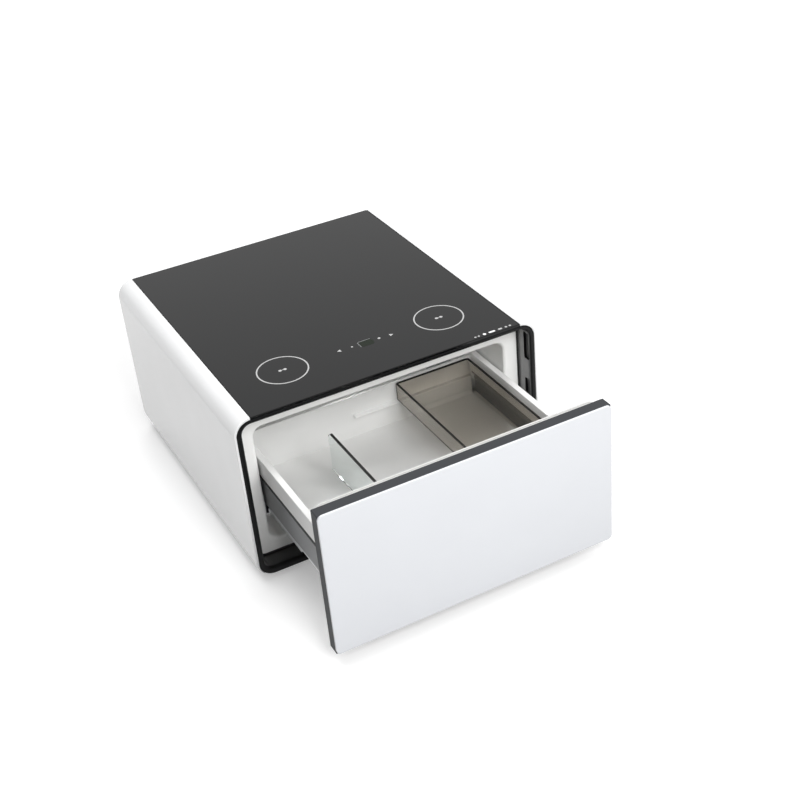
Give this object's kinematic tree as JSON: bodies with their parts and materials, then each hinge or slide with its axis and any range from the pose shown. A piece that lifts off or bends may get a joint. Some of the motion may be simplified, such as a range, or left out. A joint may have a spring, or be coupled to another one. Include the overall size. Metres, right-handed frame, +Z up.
{
  "type": "refrigerator side table",
  "caption": "Low side table with a wide refrigerator drawer in a rounded white cabinet, a black glass top with touch keys and charging pads, a sliding divider and a fruit tray.",
  "frame": {"origin": "centre of the cabinet's footprint, on the floor", "axes": "+Z up, +X to the right seen from the drawer's side, +Y to the back, so the drawer opens along -Y"},
  "size_m": [0.8, 1.196, 0.46],
  "materials": {
    "wrap_white": "gloss",
    "frame_black": "satin",
    "top_black_glass": "gloss",
    "panel_grey": "matte",
    "coil_copper": "satin",
    "board_green": "matte",
    "foot_black": "matte",
    "steel_zinc": "satin",
    "liner_white": "satin",
    "foam_cream": "matte",
    "evaporator_alu": "satin",
    "lamp_white": "satin",
    "door_white_glass": "gloss",
    "door_grey": "satin",
    "panel_white": "satin",
    "gasket_grey": "matte",
    "drawer_white": "satin",
    "drawer_grey": "satin",
    "floor_white": "satin",
    "divider_clear": "gloss",
    "trim_dark": "satin",
    "tray_tint": "gloss",
    "compressor_black": "satin",
    "rubber_black": "matte",
    "plastic_black": "matte",
    "condenser_black": "satin",
    "tube_copper": "satin"
  },
  "bodies": {
    "cabinet": {"wrap_shell": "wrap_white", "front_frame": "frame_black", "top_glass": "top_black_glass", "top_panel": "panel_grey", "charging_coils": "coil_copper", "touch_board": "board_green", "foot_inserts": "steel_zinc", "inner_liner": "liner_white", "insulation": "foam_cream", "evaporator_plate": "evaporator_alu", "cavity_light": "lamp_white", "temperature_sensor": "lamp_white", "slide_cabinet_left": "steel_zinc", "slide_cabinet_right": "steel_zinc", "slide_screws": "steel_zinc", "bulkhead": "steel_zinc", "base_plate": "steel_zinc", "rear_frame": "frame_black", "rear_cover": "plastic_black", "rear_cover_screws": "steel_zinc", "power_inlet": "plastic_black", "compressor": "compressor_black", "compressor_grommets": "rubber_black", "compressor_terminal_box": "plastic_black", "drip_tray": "plastic_black", "fan_frame": "plastic_black", "fan_motor": "steel_zinc", "condenser_coil": "condenser_black", "condenser_brackets": "steel_zinc", "filter_drier": "tube_copper", "refrigerant_lines": "tube_copper", "control_box": "plastic_black"},
    "drawer": {"drawer_front_glass": "door_white_glass", "door_frame": "door_grey", "door_foam": "foam_cream", "door_inner_panel": "panel_white", "door_gasket": "gasket_grey", "drawer_floor": "floor_white", "drawer_back_wall": "floor_white", "drawer_rim_left": "drawer_white", "drawer_rim_right": "drawer_white", "drawer_side_left": "drawer_grey", "drawer_side_right": "drawer_grey", "front_brackets": "steel_zinc", "slide_drawer_left": "steel_zinc", "slide_drawer_right": "steel_zinc", "divider_rails": "floor_white", "tray_ledges": "drawer_white"},
    "slide_middle_left": {"slide_middle_left": "steel_zinc"},
    "slide_middle_right": {"slide_middle_right": "steel_zinc"},
    "divider": {"divider_shoes": "drawer_grey", "divider_glass": "divider_clear", "divider_trim": "trim_dark"},
    "tray": {"fruit_tray": "tray_tint", "fruit_tray_rim": "trim_dark"},
    "fan": {"fan_rotor": "plastic_black"},
    "foot_front_left": {"foot_front_left": "foot_black"},
    "foot_front_right": {"foot_front_right": "foot_black"},
    "foot_rear_left": {"foot_rear_left": "foot_black"},
    "foot_rear_right": {"foot_rear_right": "foot_black"}
  },
  "joints": [
    {"name": "drawer_slide", "type": "slide", "parent": "cabinet", "child": "drawer", "axis": [0, -1, 0], "range_m": [-0.366, 0.114]},
    {"name": "slide_middle_left_slide", "type": "slide", "parent": "cabinet", "child": "slide_middle_left", "axis": [0, -1, 0], "range_m": [-0.183, 0.057]},
    {"name": "slide_middle_right_slide", "type": "slide", "parent": "cabinet", "child": "slide_middle_right", "axis": [0, -1, 0], "range_m": [-0.183, 0.057]},
    {"name": "divider_slide", "type": "slide", "parent": "drawer", "child": "divider", "axis": [1, 0, 0], "range_m": [-0.14, 0.075]},
    {"name": "tray_slide", "type": "slide", "parent": "drawer", "child": "tray", "axis": [1, 0, 0], "range_m": [-0.12, 0.004]},
    {"name": "fan_spin", "type": "hinge", "parent": "cabinet", "child": "fan", "pos_m": [0.007, 0.30525, 0.086], "axis": [1, 0, 0], "continuous": true},
    {"name": "foot_front_left_turn", "type": "hinge", "parent": "cabinet", "child": "foot_front_left", "pos_m": [-0.322, -0.34, 0.013], "axis": [0, 0, 1], "continuous": true},
    {"name": "foot_front_right_turn", "type": "hinge", "parent": "cabinet", "child": "foot_front_right", "pos_m": [0.322, -0.34, 0.013], "axis": [0, 0, 1], "continuous": true},
    {"name": "foot_rear_left_turn", "type": "hinge", "parent": "cabinet", "child": "foot_rear_left", "pos_m": [-0.322, 0.34, 0.013], "axis": [0, 0, 1], "continuous": true},
    {"name": "foot_rear_right_turn", "type": "hinge", "parent": "cabinet", "child": "foot_rear_right", "pos_m": [0.322, 0.34, 0.013], "axis": [0, 0, 1], "continuous": true}
  ],
  "couplings": [
    {"joint": "slide_middle_left_slide", "follows": "drawer_slide", "ratio": 0.5},
    {"joint": "slide_middle_right_slide", "follows": "drawer_slide", "ratio": 0.5}
  ]
}
